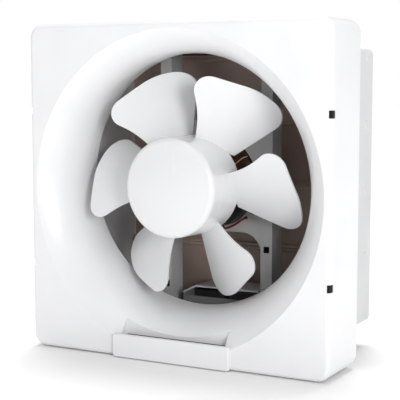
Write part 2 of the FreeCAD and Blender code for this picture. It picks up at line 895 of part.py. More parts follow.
def hub_cap():
    """The domed cap that closes the hub, with a rim that seats inside the skirt."""
    nose = -hub_front - cap_height
    rim = -hub_front
    inner_radius = hub_front_radius - hub_wall
    outer = cap_profile(nose, cap_shoulder_radius, hub_front_radius, rim)
    rim_centre = Vector(0, rim, 0)
    outer.append(Part.makeLine(Vector(hub_front_radius, rim, 0), rim_centre))
    outer.append(Part.makeLine(rim_centre, Vector(0, nose, 0)))
    inner = cap_profile(nose + hub_wall, cap_shoulder_radius - hub_wall, inner_radius - hub_wall / 2, rim)
    inner.append(Part.makeLine(Vector(inner_radius - hub_wall / 2, rim, 0), rim_centre))
    inner.append(Part.makeLine(rim_centre, Vector(0, nose + hub_wall, 0)))
    collar = turned_ring(inner_radius - hub_wall / 2, inner_radius - fit_gap, (rim, rim + cap_rim_length))
    return on_axis(turned(outer).cut(turned(inner)).fuse(collar).removeSplitter())


def impeller_washer():
    """The washer under the impeller's nut."""
    web = -hub_front + hub_web_recess
    span = (web - impeller_washer_thickness, web)
    return on_axis(turned_ring(shaft_radius + running_gap, impeller_washer_radius, span))


def impeller_nut():
    """The nut that holds the impeller on the shaft."""
    seat = -hub_front + hub_web_recess - impeller_washer_thickness
    nut = hexagon(impeller_nut_width, (seat - impeller_nut_height, seat))
    span = (seat - impeller_nut_height - cut_overrun, seat + cut_overrun)
    return on_axis(nut.cut(rod_along_y(shaft_radius, span)))


def drive_pin():
    """The cross pin that turns the impeller."""
    half = drive_pin_length / 2
    return on_axis(rod_along_z(drive_pin_radius, (-half, half), 0, -drive_pin_place))


def louvre(level):
    """One louvre: a bowed blade hung from a barrel, with a lip above, end pins and a crank."""
    height = louvre_pitch - louvre_lap
    half = louvre_thickness / 2
    front = [(-half, 0), (louvre_lean / 2 + louvre_bow - half, -height / 2), (louvre_lean - half, -height)]
    back = [(y + louvre_thickness, z) for y, z in front]
    x = -louvre_half_length
    f = [Vector(x, y, z) for y, z in front]
    b = [Vector(x, y, z) for y, z in back]
    section = Part.Wire([
        Part.Arc(*f).toShape(),
        Part.makeLine(f[2], b[2]),
        Part.Arc(b[2], b[1], b[0]).toShape(),
        Part.makeLine(b[0], f[0]),
    ])
    sheet = Part.Face(section).extrude(Vector(2 * louvre_half_length, 0, 0))
    x_span = (-louvre_half_length, louvre_half_length)
    pin_end = rod_place + rod_thickness + rod_side_gap
    notch_x = (crank_place - lip_notch_gap, pin_end + crank_pin_head_length + lip_notch_gap)
    notch = box(notch_x, (-louvre_thickness, louvre_thickness), (0, 2 * louvre_lip_height))
    lip = box(x_span, (-half, half), (0, louvre_lip_height)).cut(notch)
    barrel = rod_along_x(louvre_barrel_radius, x_span, 0, 0)
    pins = rod_along_x(louvre_pin_radius, (-half_housing, half_housing), 0, 0)
    ear_span = (crank_place, crank_place + crank_thickness)
    arm = box(ear_span, (-crank_length, 0), (-louvre_barrel_radius, louvre_barrel_radius))
    eye = rod_along_x(crank_radius, ear_span, -crank_length, 0)
    pin = rod_along_x(crank_pin_radius, (crank_place, pin_end), -crank_length, 0)
    head = rod_along_x(crank_pin_head_radius, (pin_end, pin_end + crank_pin_head_length), -crank_length, 0)
    blade_solid = sheet.fuse([lip, barrel, pins, arm, eye, pin, head]).removeSplitter()
    return blade_solid.translated(Vector(0, louvre_axis_place, level))


def tie_rod():
    """The flat rod that joins the louvres' cranks; its first eye is a close fit, the others are looser."""
    y = louvre_axis_place - crank_length
    levels = louvre_levels()
    half = rod_width / 2
    low = levels[-1] - half
    high = levels[0] + half
    points = [(y - half, low), (y + half, low), (y + half, high), (y - half, high)]
    wire = rounded_wire(points, [half - fit_gap] * len(points), lambda p: Vector(rod_place, p.x, p.y))
    bar = Part.Face(wire).extrude(Vector(rod_thickness, 0, 0))
    eyes = []
    for k, level in enumerate(levels):
        gap = running_gap if k == 0 else link_gap
        span = (rod_place - cut_overrun, rod_place + rod_thickness + cut_overrun)
        eyes.append(rod_along_x(crank_pin_radius + gap, span, y, level))
    return bar.cut(eyes)


def tray_outline():
    """The tray's upper line in X and Z: level at the right, sloping down at the left."""
    return [
        (-tray_left, tray_top - cover_gusset_drop),
        (-tray_left + cover_gusset_run, tray_top),
        (tray_right, tray_top),
    ]


def terminal_tray():
    """An open tray on the duct's floor, low at the front, with a port for the leads and a bush hole."""
    floor = -half_inside
    rear = tray_front + tray_depth
    outline = [(tray_right, floor), (-tray_left, floor)] + tray_outline()
    body = prism_y(outline, [0] * len(outline), (tray_front, rear))
    x_span = (-tray_left + tray_wall, tray_right - tray_wall)
    y_span = (tray_front + tray_wall, rear - tray_wall)
    hollow = box(x_span, y_span, (floor + tray_wall, tray_top + cut_overrun))
    front_span = (tray_front - cut_overrun, tray_front + tray_wall)
    sill = box(x_span, front_span, (floor + tray_front_height, tray_top + cut_overrun))
    port_span = (tray_right - tray_wall - cut_overrun, tray_right + cut_overrun)
    port = rod_along_x(lead_port_radius, port_span, lead_exit(), lead_entry())
    x, y = grommet_place()
    hole = rod_along_z(grommet_neck_radius, (floor - cut_overrun, floor + tray_wall + cut_overrun), x, y)
    return body.cut([hollow, sill, port, hole])


def terminal_cover():
    """The tray's lid, bent down at its left end."""
    lower = tray_outline()
    upper = [(x, z + cover_thickness) for x, z in reversed(lower)]
    outline = lower + upper
    return prism_y(outline, [0] * len(outline), (tray_front - cover_overhang, tray_front + tray_depth))


def block_start():
    """The terminal block's left front lower corner."""
    return Vector(-tray_left + tray_wall + fit_gap, tray_front + 2 * tray_wall, -half_inside + tray_wall)


def terminal_places():
    """Top centre of each terminal's screw seat."""
    corner = block_start()
    way = block_length / block_ways
    seat = corner.z + block_height - block_well_depth
    middle = corner.y + block_width / 2
    return [Vector(corner.x + way * (k + 1 / 2), middle, seat) for k in range(block_ways)]


def terminal_block():
    """A barrier strip with one well for each way."""
    corner = block_start()
    body = Part.makeBox(block_length, block_width, block_height, corner)
    way = block_length / block_ways
    half = way / 2 - block_barrier / 2
    y_span = (corner.y - cut_overrun, corner.y + block_width + cut_overrun)
    wells = []
    for place in terminal_places():
        wells.append(box((place.x - half, place.x + half), y_span, (place.z, place.z + block_height)))
    return body.cut(wells)


def terminal_screws():
    """The clamping screws of the terminal block."""
    head = pan_head(terminal_screw_radius, terminal_screw_height)
    return Part.makeCompound([head.translated(place) for place in terminal_places()])


def capacitor():
    """The motor's run capacitor, a block with softened edges, behind the terminals."""
    corner = block_start() + Vector(0, block_width + fit_gap, 0)
    body = Part.makeBox(capacitor_length, capacitor_width, capacitor_height, corner)
    return body.makeFillet(capacitor_round, [e for e in body.Edges if e.CenterOfMass.z > corner.z])


def cable_grommet():
    """The rubber bush round the supply cable's hole."""
    x, y = grommet_place()
    outside = -half_housing
    inside = -half_inside + tray_wall
    profile = [
        (grommet_bore_radius, outside - grommet_flange),
        (grommet_flange_radius, outside - grommet_flange),
        (grommet_flange_radius, outside),
        (grommet_neck_radius, outside),
        (grommet_neck_radius, inside),
        (grommet_flange_radius, inside),
        (grommet_flange_radius, inside + grommet_flange),
        (grommet_bore_radius, inside + grommet_flange),
    ]
    corners = [Vector(r, 0, z) for r, z in profile]
    edges = [Part.makeLine(a, b) for a, b in zip(corners, corners[1:] + corners[:1])]
    bush = Part.Face(Part.Wire(edges)).revolve(CENTRE, UP, 360)
    return bush.translated(Vector(x, y, 0))


def lead_circle(angle, reach=bell_radius + lead_hole_radius + bell_wall):
    """A point beside the motor at an angle about its axis, on the plane y = 0."""
    turn = math.radians(angle)
    return Vector(reach * math.cos(turn), 0, axis_rise + reach * math.sin(turn))


def lead_exit():
    """How far back the leads leave the post's channel for the tray."""
    return post_front + post_depth + lead_bend_room


def lead_entry():
    """Height at which the leads enter the tray and meet the terminal block."""
    return -half_inside + tray_wall + block_height / 2


def channel_run(index):
    """The stretch both leads share: down inside the right post, then back and into the terminal block."""
    x = post_centre + (index - 1 / 2) * lead_spacing
    y = post_front + post_depth / 2
    top = axis_rise - plate_drop
    low = lead_entry()
    across = lead_exit() + (index - 1 / 2) * lead_spacing
    block_end = block_start().x + block_length + fit_gap
    turn_level = block_start().y + block_width / 2 + (index - 1 / 2) * lead_spacing
    return [
        Vector(x, y, top),
        Vector(x, y, low + 2 * lead_bend_room),
        Vector(x, across, low),
        Vector(tray_right - tray_wall - 2 * lead_bend_room, across, low),
        Vector(block_end + lead_bend_room, turn_level, low),
        Vector(block_end, turn_level, low),
    ]


def motor_lead_red():
    """The lead from the front winding, round the motor, through the plate and down the post's channel."""
    back = Vector(0, plate_front - lug_length, 0)
    behind = Vector(0, core_rear, 0)
    first = channel_run(0)[0]
    points = [
        lead_circle(lead_start_angle, winding_outer_radius + fit_gap) + back,
        lead_circle(lead_start_angle) + back,
        lead_circle((lead_start_angle + lead_hole_angle) / 2) + back,
        lead_circle(lead_hole_angle) + back,
        lead_circle(lead_hole_angle) + behind,
        Vector(first.x, lead_exit(), (lead_circle(lead_hole_angle).z + first.z) / 2),
    ]
    return tube_along(points + channel_run(0), lead_radius)


def motor_lead_grey():
    """The lead from the rear winding, behind the plate and down the post's channel."""
    back = Vector(0, core_rear + rear_winding_length / 2, 0)
    first = channel_run(1)[0]
    points = [
        lead_circle(lead_start_angle, winding_outer_radius + fit_gap) + back,
        lead_circle(lead_start_angle, lug_circle_radius) + back,
        Vector(first.x, lead_exit() + lead_spacing, first.z + lead_spacing),
    ]
    return tube_along(points + channel_run(1), lead_radius)


def lead_clip():
    """The clip that holds both leads against the front of the post's channel."""
    y = post_front + post_depth / 2
    level = axis_rise - clip_drop
    half_width = post_width / 2 - post_wall
    z_span = (level - clip_height / 2, level + clip_height / 2)
    x_span = (post_centre - half_width, post_centre + half_width)
    body = box(x_span, (post_front + post_wall, y + 2 * lead_radius), z_span)
    holes = []
    hole_span = (z_span[0] - cut_overrun, z_span[1] + cut_overrun)
    for way in (-1, 1):
        x = post_centre + way * lead_spacing / 2
        holes.append(rod_along_z(lead_radius + running_gap, hole_span, x, y))
    return body.cut(holes)


def build():
    """Makes every piece, by name."""
    rear_boss_end = rear_face + boss_length
    front_boss_end = front_face - boss_length
    front_lugs = (plate_front - lug_length, plate_front)
    rear_lugs = (core_rear, core_rear + lug_length)
    pieces = {
        "front_panel": front_panel(),
        "bell_mouth": bell_mouth(),
        "grip_bar": grip_bar(),
        "wall_flange": wall_flange(),
        "duct_left": duct_side(-1),
        "duct_right": duct_side(1),
        "duct_top": duct_end(1),
        "duct_bottom": duct_end(-1),
        "motor_bracket": motor_bracket(),
        "bracket_screws": bracket_screws(),
        "motor_front_bell": end_bell(front_face, core_front, front_boss_end, front_lugs),
        "motor_rear_bell": end_bell(rear_face, core_rear, rear_boss_end, rear_lugs),
        "stator_core": stator_core(),
        "front_winding": winding((core_front - front_winding_length, core_front)),
        "rear_winding": winding((core_rear, core_rear + rear_winding_length)),
        "motor_bolts": motor_bolts(),
        "motor_nuts": motor_nuts(),
        "front_bearing": bearing((front_boss_end, front_rim)),
        "rear_bearing": bearing((rear_rim, rear_boss_end)),
        "front_bearing_retainer": bearing_retainer(front_boss_end, -1),
        "rear_bearing_retainer": bearing_retainer(rear_boss_end, 1),
        "motor_shaft": motor_shaft(),
        "rotor_core": rotor_core(),
        "rotor_end_rings": rotor_end_rings(),
        "thrust_washers": thrust_washers(),
        "impeller": impeller(),
        "hub_cap": hub_cap(),
        "impeller_washer": impeller_washer(),
        "impeller_nut": impeller_nut(),
        "drive_pin": drive_pin(),
        "tie_rod": tie_rod(),
        "terminal_tray": terminal_tray(),
        "terminal_cover": terminal_cover(),
        "terminal_block": terminal_block(),
        "terminal_screws": terminal_screws(),
        "capacitor": capacitor(),
        "cable_grommet": cable_grommet(),
        "motor_lead_red": motor_lead_red(),
        "motor_lead_grey": motor_lead_grey(),
        "lead_clip": lead_clip(),
    }
    for number, level in enumerate(louvre_levels(), start=1):
        pieces[f"louvre_{number}"] = louvre(level)
    return pieces


os.makedirs("parts", exist_ok=True)
for name, shape in build().items():
    if not shape.isValid():
        print("not valid:", name)
    print(name, len(shape.Solids), round(shape.Volume))
    shape.exportStep(f"parts/{name}.step")
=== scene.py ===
import json
import logging
import math
from dataclasses import dataclass, field
from enum import Enum
from typing import Iterable, Sequence, Union

import bmesh
import bpy
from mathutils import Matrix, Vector


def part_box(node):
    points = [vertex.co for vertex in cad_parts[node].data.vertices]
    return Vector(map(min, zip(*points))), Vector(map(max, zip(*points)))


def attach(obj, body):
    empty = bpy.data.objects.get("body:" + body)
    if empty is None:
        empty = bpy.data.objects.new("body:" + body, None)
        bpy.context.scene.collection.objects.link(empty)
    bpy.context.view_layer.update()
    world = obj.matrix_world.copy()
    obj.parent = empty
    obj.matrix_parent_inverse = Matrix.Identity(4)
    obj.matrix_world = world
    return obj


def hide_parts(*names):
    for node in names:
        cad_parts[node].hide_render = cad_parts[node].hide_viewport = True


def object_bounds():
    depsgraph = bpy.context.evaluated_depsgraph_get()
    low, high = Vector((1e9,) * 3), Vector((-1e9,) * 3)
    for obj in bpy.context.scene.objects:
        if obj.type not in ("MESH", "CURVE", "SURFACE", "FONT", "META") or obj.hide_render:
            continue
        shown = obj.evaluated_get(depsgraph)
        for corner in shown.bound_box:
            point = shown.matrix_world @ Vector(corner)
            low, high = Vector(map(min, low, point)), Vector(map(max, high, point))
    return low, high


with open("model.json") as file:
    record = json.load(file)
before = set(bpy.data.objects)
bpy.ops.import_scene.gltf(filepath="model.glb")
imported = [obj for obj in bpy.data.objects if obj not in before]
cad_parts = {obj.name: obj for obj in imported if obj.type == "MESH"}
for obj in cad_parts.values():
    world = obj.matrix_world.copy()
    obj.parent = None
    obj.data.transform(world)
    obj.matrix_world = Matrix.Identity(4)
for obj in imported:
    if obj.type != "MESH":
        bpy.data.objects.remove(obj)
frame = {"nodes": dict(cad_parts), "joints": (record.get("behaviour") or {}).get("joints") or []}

CAD_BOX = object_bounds()
LOG = logging.getLogger("wall_fan")

# Points this close, in metres, count as one along a seam
SEAM_REACH = 0.000002
# How finely round wires, rounded edges and discs are divided
WIRE_STEPS = 1
EDGE_STEPS = 2
ROUND_PROFILE = 0.5
DISC_SIDES = 24
# Length of one band of the wave texture at scale 1, in metres
WAVE_LENGTH = 0.314
# The middle of a noise that runs from 0 to 1
NOISE_MIDDLE = 0.5

Triple = tuple[float, float, float]
Colour = tuple[float, float, float, float]
Value = Union["Socket", float, Colour, Sequence[float]]
EVEN: Triple = (1.0, 1.0, 1.0)


class Body(Enum):
    """The body that new pieces ride on."""

    FRAME = "frame"


class Side(Enum):
    """A side of the fan, and which way it faces along x."""

    LEFT = -1.0
    RIGHT = 1.0


class Socket:
    """One value of a material; arithmetic on it adds Math nodes."""

    def __init__(self, graph: "Graph", output: bpy.types.NodeSocket) -> None:
        """Keeps the graph and the node output that carries the value."""
        self.graph = graph
        self.output = output

    def _math(self, operation: str, first: Value, second: Value) -> "Socket":
        """Adds one Math node.

        Args:
            operation: The Math node's operation.
            first: Its first value.
            second: Its second value.

        Returns:
            The result.
        """
        return self.graph.node("ShaderNodeMath", {"operation": operation}, {0: first, 1: second})

    def __add__(self, other: Value) -> "Socket":
        """Adds a value."""
        return self._math("ADD", self, other)

    def __radd__(self, other: Value) -> "Socket":
        """Adds this to a value."""
        return self._math("ADD", other, self)

    def __sub__(self, other: Value) -> "Socket":
        """Takes a value away."""
        return self._math("SUBTRACT", self, other)

    def __rsub__(self, other: Value) -> "Socket":
        """Takes this away from a value."""
        return self._math("SUBTRACT", other, self)

    def __mul__(self, other: Value) -> "Socket":
        """Multiplies by a value."""
        return self._math("MULTIPLY", self, other)

    def __rmul__(self, other: Value) -> "Socket":
        """Multiplies a value by this."""
        return self._math("MULTIPLY", other, self)

    def __abs__(self) -> "Socket":
        """Drops the sign."""
        return self._math("ABSOLUTE", self, 0.0)


@dataclass(frozen=True)
class Noise:
    """A cloudy pattern, and the range of it that a mask spreads over 0 to 1."""

    per_metre: float
    detail: float = 2.0
    rough: float = 0.5
    low: float = 0.0
    high: float = 1.0
    stretch: Triple = EVEN


class Graph:
    """The node graph of one material."""

    def __init__(self, name: str) -> None:
        """Starts an empty material with an output node."""
        self.material = bpy.data.materials.new(name)
        self.material.use_nodes = True
        self.tree = self.material.node_tree
        self.tree.nodes.clear()
        self.end = self.tree.nodes.new("ShaderNodeOutputMaterial")

    def node(
        self,
        kind: str,
        settings: dict[str, object],
        sockets: dict[Union[int, str], Value],
        output: Union[int, str] = 0,
    ) -> Socket:
        """Adds any node.

        Args:
            kind: The node's type.
            settings: Its own settings, set first.
            sockets: Values or links of its inputs, by index or name.
            output: The output to hand back.

        Returns:
            That output.
        """
        made = self.tree.nodes.new(kind)
        for key, value in settings.items():
            setattr(made, key, value)
        for key, value in sockets.items():
            if isinstance(value, Socket):
                self.tree.links.new(value.output, made.inputs[key])
            else:
                made.inputs[key].default_value = value
        return Socket(self, made.outputs[output])

    def place(self) -> Socket:
        """The point on the piece, in metres."""
        return self.node("ShaderNodeTexCoord", {}, {}, "Object")

    def along(self, place: Socket, axis: str) -> Socket:
        """The point's distance along one axis."""
        return self.node("ShaderNodeSeparateXYZ", {}, {0: place}, axis)

    def stretched(self, place: Socket, scale: Triple) -> Socket:
        """The point with each axis scaled by its own factor."""
        return self.node("ShaderNodeVectorMath", {"operation": "MULTIPLY"}, {0: place, 1: scale})

    def noise(self, place: Socket, pattern: Noise) -> Socket:
        """A pattern from 0 to 1.

        Args:
            place: The point on the piece.
            pattern: The pattern's scale, detail and stretch.

        Returns:
            Its level at the point.
        """
        if pattern.stretch != EVEN:
            place = self.stretched(place, pattern.stretch)
        values = {
            "Vector": place,
            "Scale": pattern.per_metre,
            "Detail": pattern.detail,
            "Roughness": pattern.rough,
        }
        return self.node("ShaderNodeTexNoise", {}, values)

    def band(self, value: Socket, low: float, high: float) -> Socket:
        """A value's range from low to high, spread over 0 to 1 and held there."""
        values = {"Value": value, "From Min": low, "From Max": high}
        return self.node("ShaderNodeMapRange", {"interpolation_type": "SMOOTHSTEP"}, values)

    def mask(self, place: Socket, pattern: Noise) -> Socket:
        """A pattern with its own range spread over 0 to 1."""
        return self.band(self.noise(place, pattern), pattern.low, pattern.high)

    def mixed(self, share: Value, first: Value, second: Value) -> Socket:
        """Two colours mixed by a share."""
        values = {0: share, 6: first, 7: second}
        return self.node("ShaderNodeMix", {"data_type": "RGBA"}, values, 2)

    def bump(self, height: Socket, depth: float, strength: float) -> Socket:
        """A surface normal from a height of 0 to 1 and its depth in metres."""
        values = {"Strength": strength, "Distance": depth, "Height": height}
        return self.node("ShaderNodeBump", {}, values)

    def surface(self, sockets: dict[str, Value]) -> bpy.types.Material:
        """Ends the material in one shader.

        Args:
            sockets: Values or links of the shader's inputs, by name.

        Returns:
            The finished material.
        """
        shader = self.node("ShaderNodeBsdfPrincipled", {}, sockets)
        self.tree.links.new(shader.output, self.end.inputs["Surface"])
        return self.material


def rgb(red: float, green: float, blue: float) -> Colour:
    """A solid colour."""
    return (red, green, blue, 1.0)


def grey(level: float) -> Colour:
    """A neutral colour of one level."""
    return rgb(level, level, level)


@dataclass(frozen=True)
class MouldedPlastic:
    """Moulded plastic with faint clouding, a fine mould grain and a few rubbed places."""

    name: str
    colour: Colour
    shade: Colour
    roughness: float
    clouds: Noise = Noise(14.0, 3.0, low=0.35, high=0.75)
    grain: Noise = Noise(2600.0)
    grain_depth: float = 0.00002
    grain_strength: float = 0.4
    grain_roughness: float = 0.06
    smears: Noise = Noise(45.0, 4.0, 0.6, 0.5, 0.72, (1.0, 1.0, 0.35))
    rubbed: float = 0.035
    coat: float = 0.0
    coat_roughness: float = 0.12

    def build(self) -> bpy.types.Material:
        """Makes the material."""
        graph = Graph(self.name)
        place = graph.place()
        grain = graph.noise(place, self.grain)
        uneven = (grain - NOISE_MIDDLE) * self.grain_roughness
        worn = graph.mask(place, self.smears) * self.rubbed
        return graph.surface({
            "Base Color": graph.mixed(graph.mask(place, self.clouds), self.colour, self.shade),
            "Roughness": self.roughness + worn + uneven,
            "Normal": graph.bump(grain, self.grain_depth, self.grain_strength),
            "Coat Weight": self.coat,
            "Coat Roughness": self.coat_roughness,
        })


@dataclass(frozen=True)
class PaintedSteel:
    """Sprayed paint with orange peel, fine dust and thin scuffs that show a lighter ground."""

    name: str
    colour: Colour
    scuff: Colour
    roughness: float
    peel: Noise = Noise(900.0)
    peel_depth: float = 0.00006
    peel_strength: float = 0.35
    dust: Noise = Noise(60.0, 5.0, 0.65, 0.48, 0.78)
    dust_share: float = 0.25
    dust_roughness: float = 0.15
    streaks: Noise = Noise(160.0, 3.0, low=0.66, high=0.74, stretch=(6.0, 6.0, 0.4))
    streak_share: float = 0.35

    def build(self) -> bpy.types.Material:
        """Makes the material."""
        graph = Graph(self.name)
        place = graph.place()
        dust = graph.mask(place, self.dust)
        peel = graph.noise(place, self.peel)
        return graph.surface({
            "Base Color": self._paint(graph, place, dust),
            "Roughness": self.roughness + dust * self.dust_roughness,
            "Normal": graph.bump(peel, self.peel_depth, self.peel_strength),
        })

    def _paint(self, graph: Graph, place: Socket, dust: Socket) -> Socket:
        """The paint's colour.

        Args:
            graph: The material's graph.
            place: The point on the piece.
            dust: How dusty the point is.

        Returns:
            The colour at the point.
        """
        scuffs = graph.mask(place, self.streaks) * self.streak_share
        return graph.mixed(scuffs + dust * self.dust_share, self.colour, self.scuff)


@dataclass(frozen=True, kw_only=True)
class HollowPosts(PaintedSteel):
    """Painted folded steel whose posts are coloured near-black inside, as painted shade in their
    hollows.
    """

    inside_shade: Colour
    front: float
    spacing: float = 0.120
    width: float = 0.013
    wall: float = 0.0022
    blend: float = 0.0008
    blend_start_share: float = 0.25

    def _paint(self, graph: Graph, place: Socket, dust: Socket) -> Socket:
        """The paint's colour outside the posts and a painted shade inside them.

        Args:
            graph: The material's graph.
            place: The point on the piece.
            dust: How dusty the point is.

        Returns:
            The colour at the point.
        """
        paint = graph.mixed(dust * self.dust_share, self.colour, self.scuff)
        aside = abs(abs(graph.along(place, "X")) - self.spacing / 2)
        skin = self.width / 2 - self.wall
        start = self.blend * self.blend_start_share
        between = 1.0 - graph.band(aside, skin + start, skin + self.blend)
        behind = self.front + self.wall
        deep = graph.band(graph.along(place, "Y"), behind - self.blend, behind - start)
        # Inside the posts the colour turns near-black: painted shade.
        return graph.mixed(between * deep, paint, self.inside_shade)


@dataclass(frozen=True)
class BareMetal:
    """Plated or turned metal with a soft tint and fine tool marks along one axis."""

    name: str
    colour: Colour
    tint: Colour
    roughness: float
    clouds: Noise = Noise(120.0, 4.0, low=0.4, high=0.7)
    marks: Noise = Noise(900.0, stretch=(1.0, 12.0, 1.0))
    mark_depth: float = 0.00003
    mark_strength: float = 0.4
    mark_roughness: float = 0.2

    def build(self) -> bpy.types.Material:
        """Makes the material."""
        graph = Graph(self.name)
        place = graph.place()
        marks = graph.noise(place, self.marks)
        return graph.surface({
            "Base Color": graph.mixed(graph.mask(place, self.clouds), self.colour, self.tint),
            "Metallic": 1.0,
            "Roughness": self.roughness + (marks - NOISE_MIDDLE) * self.mark_roughness,
            "Normal": graph.bump(marks, self.mark_depth, self.mark_strength),
        })


@dataclass(frozen=True)
class Laminations:
    """Thin steel sheets: fine lines across the motor's axis, with a little rust and varnish."""

    name: str
    sheet: float = 0.0005
    sheet_depth: float = 0.00012
    sheet_strength: float = 0.6
    dull: Colour = rgb(0.16, 0.16, 0.165)
    bright: Colour = rgb(0.3, 0.3, 0.305)
    varnish: Colour = rgb(0.12, 0.075, 0.045)
    patches: Noise = Noise(70.0, 4.0, low=0.45, high=0.7)
    varnish_share: float = 0.6
    varnish_roughness: float = 0.15
    metallic: float = 0.85
    roughness: float = 0.42

    def build(self) -> bpy.types.Material:
        """Makes the material."""
        graph = Graph(self.name)
        place = graph.place()
        settings = {"wave_type": "BANDS", "bands_direction": "Y", "wave_profile": "SAW"}
        values = {"Vector": place, "Scale": WAVE_LENGTH / self.sheet, "Distortion": 0.0}
        lines = graph.node("ShaderNodeTexWave", settings, values, 1)
        varnish = graph.mask(place, self.patches)
        steel = graph.mixed(lines, self.dull, self.bright)
        return graph.surface({
            "Base Color": graph.mixed(varnish * self.varnish_share, steel, self.varnish),
            "Metallic": self.metallic,
            "Roughness": self.roughness + varnish * self.varnish_roughness,
            "Normal": graph.bump(lines, self.sheet_depth, self.sheet_strength),
        })


@dataclass(frozen=True)
class EnamelledCopper:
    """Enamelled copper wire under amber varnish, darker where the varnish pooled."""

    name: str
    colour: Colour = rgb(0.13, 0.05, 0.02)
    pooled: Colour = rgb(0.05, 0.02, 0.01)
    pools: Noise = Noise(95.0, 4.0, 0.6, 0.4, 0.68)
    pool_roughness: float = 0.2
    grain: Noise = Noise(1400.0)
    grain_depth: float = 0.00004
    grain_strength: float = 0.5
    metallic: float = 0.55
    roughness: float = 0.3
    coat: float = 0.4
    coat_roughness: float = 0.2

    def build(self) -> bpy.types.Material:
        """Makes the material."""
        graph = Graph(self.name)
        place = graph.place()
        pool = graph.mask(place, self.pools)
        grain = graph.noise(place, self.grain)
        return graph.surface({
            "Base Color": graph.mixed(pool, self.colour, self.pooled),
            "Metallic": self.metallic,
            "Roughness": self.roughness + pool * self.pool_roughness,
            "Normal": graph.bump(grain, self.grain_depth, self.grain_strength),
            "Coat Weight": self.coat,
            "Coat Roughness": self.coat_roughness,
        })


@dataclass(frozen=True)
class SoftSleeve:
    """Rubber or a wire's sleeve: matt, with dust and a faint extrusion grain."""

    name: str
    colour: Colour
    dust: Colour
    roughness: float
    patches: Noise = Noise(150.0, 4.0, low=0.45, high=0.8)
    dust_share: float = 0.4
    dust_roughness: float = 0.2
    grain: Noise = Noise(2200.0)
    grain_depth: float = 0.00004
    grain_strength: float = 0.4

    def build(self) -> bpy.types.Material:
        """Makes the material."""
        graph = Graph(self.name)
        place = graph.place()
        dusty = graph.mask(place, self.patches)
        grain = graph.noise(place, self.grain)
        return graph.surface({
            "Base Color": graph.mixed(dusty * self.dust_share, self.colour, self.dust),
            "Roughness": self.roughness + dusty * self.dust_roughness,
            "Normal": graph.bump(grain, self.grain_depth, self.grain_strength),
        })


class Finishes:
    """Every finish of the fan, made once."""

    def __init__(self) -> None:
        """Makes the materials."""
        self.panel = MouldedPlastic(
            "panel_white", rgb(0.86, 0.865, 0.87), rgb(0.83, 0.835, 0.845), 0.3, coat=0.15
        ).build()
        # The housing's white is set darker than the panel's: painted shade for its side.
        self.housing = MouldedPlastic(
            "housing_white", rgb(0.69, 0.695, 0.7), rgb(0.65, 0.655, 0.66), 0.5,
            grain=Noise(1800.0), grain_depth=0.00005,
        ).build()
        self.blades = MouldedPlastic(
            "blade_white", rgb(0.8, 0.805, 0.81), rgb(0.78, 0.785, 0.795), 0.24, coat=0.2
        ).build()
        self.louvre = MouldedPlastic(
            "louvre_brown", rgb(0.428, 0.321, 0.278), rgb(0.39, 0.291, 0.25), 0.4,
            grain=Noise(1500.0), grain_depth=0.00006, rubbed=0.14,
        ).build()
        self.black = MouldedPlastic(
            "moulded_black", grey(0.022), grey(0.03), 0.5,
            grain=Noise(1500.0), grain_depth=0.00005, rubbed=0.12,
        ).build()
        # The bracket's posts are near-black inside: painted shade in their hollows.
        self.bracket = HollowPosts(
            "bracket_grey", grey(0.46), grey(0.54), 0.38,
            inside_shade=grey(0.012), front=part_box("motor_bracket")[0].y,
        ).build()
        # The tray's dark grey is darker than its own steel: painted shade for its front under
        # the cover.
        self.tray = PaintedSteel("tray_grey", grey(0.2), grey(0.26), 0.45).build()
        self.cover = PaintedSteel("cover_white", grey(0.5), grey(0.56), 0.4).build()
        self.bells = PaintedSteel("bell_black", grey(0.02), grey(0.08), 0.42).build()
        self.core = Laminations("core_sheets").build()
        self.copper = EnamelledCopper("winding_copper").build()
        self.zinc = BareMetal(
            "zinc_plate", rgb(0.62, 0.62, 0.6), rgb(0.56, 0.55, 0.48), 0.36
        ).build()
        self.steel = BareMetal("ground_steel", grey(0.56), grey(0.48), 0.28).build()
        self.bronze = BareMetal(
            "bush_bronze", rgb(0.52, 0.33, 0.15), rgb(0.4, 0.24, 0.1), 0.4
        ).build()
        self.cast = BareMetal(
            "cast_aluminium", grey(0.6), grey(0.5), 0.5, marks=Noise(900.0)
        ).build()
        self.lacing = SoftSleeve(
            "lacing_cord", rgb(0.62, 0.5, 0.33), rgb(0.4, 0.28, 0.15), 0.8
        ).build()
        self.notch_shade = SoftSleeve("notch_shade_black", grey(0.004), grey(0.012), 0.9).build()
        self.rubber_and_pocket_shadow = SoftSleeve("bush_rubber", grey(0.02), grey(0.07), 0.72).build()
        self.gap_shade_foam = SoftSleeve(
            "strip_foam_gap_shade", rgb(0.11, 0.085, 0.08), rgb(0.16, 0.13, 0.12), 0.85
        ).build()
        self.red = SoftSleeve(
            "lead_red", rgb(0.16, 0.008, 0.012), rgb(0.14, 0.03, 0.03), 0.5
        ).build()
        self.dark = SoftSleeve("lead_grey", grey(0.12), grey(0.2), 0.5).build()


def dress(nodes: Iterable[str], material: bpy.types.Material) -> None:
    """Gives CAD nodes their finish.

    Args:
        nodes: Names of the nodes.
        material: The finish.
    """
    for name in nodes:
        piece = frame["nodes"][name]
        piece.data.materials.clear()
        piece.data.materials.append(material)
        LOG.info("dressed %s", name)


def even_out(name: str) -> None:
    """Joins a node's seams and evens its shading, so that a dome shows no mark at its middle."""
    piece = frame["nodes"][name]
    weld = piece.modifiers.new("joined_seams", "WELD")
    weld.merge_threshold = SEAM_REACH
    even = piece.modifiers.new("even_shading", "WEIGHTED_NORMAL")
    even.keep_sharp = True


def joint_place(name: str) -> Vector:
    """A point on a joint's axis."""
    return next(Vector(joint["pos_m"]) for joint in frame["joints"] if joint["name"] == name)


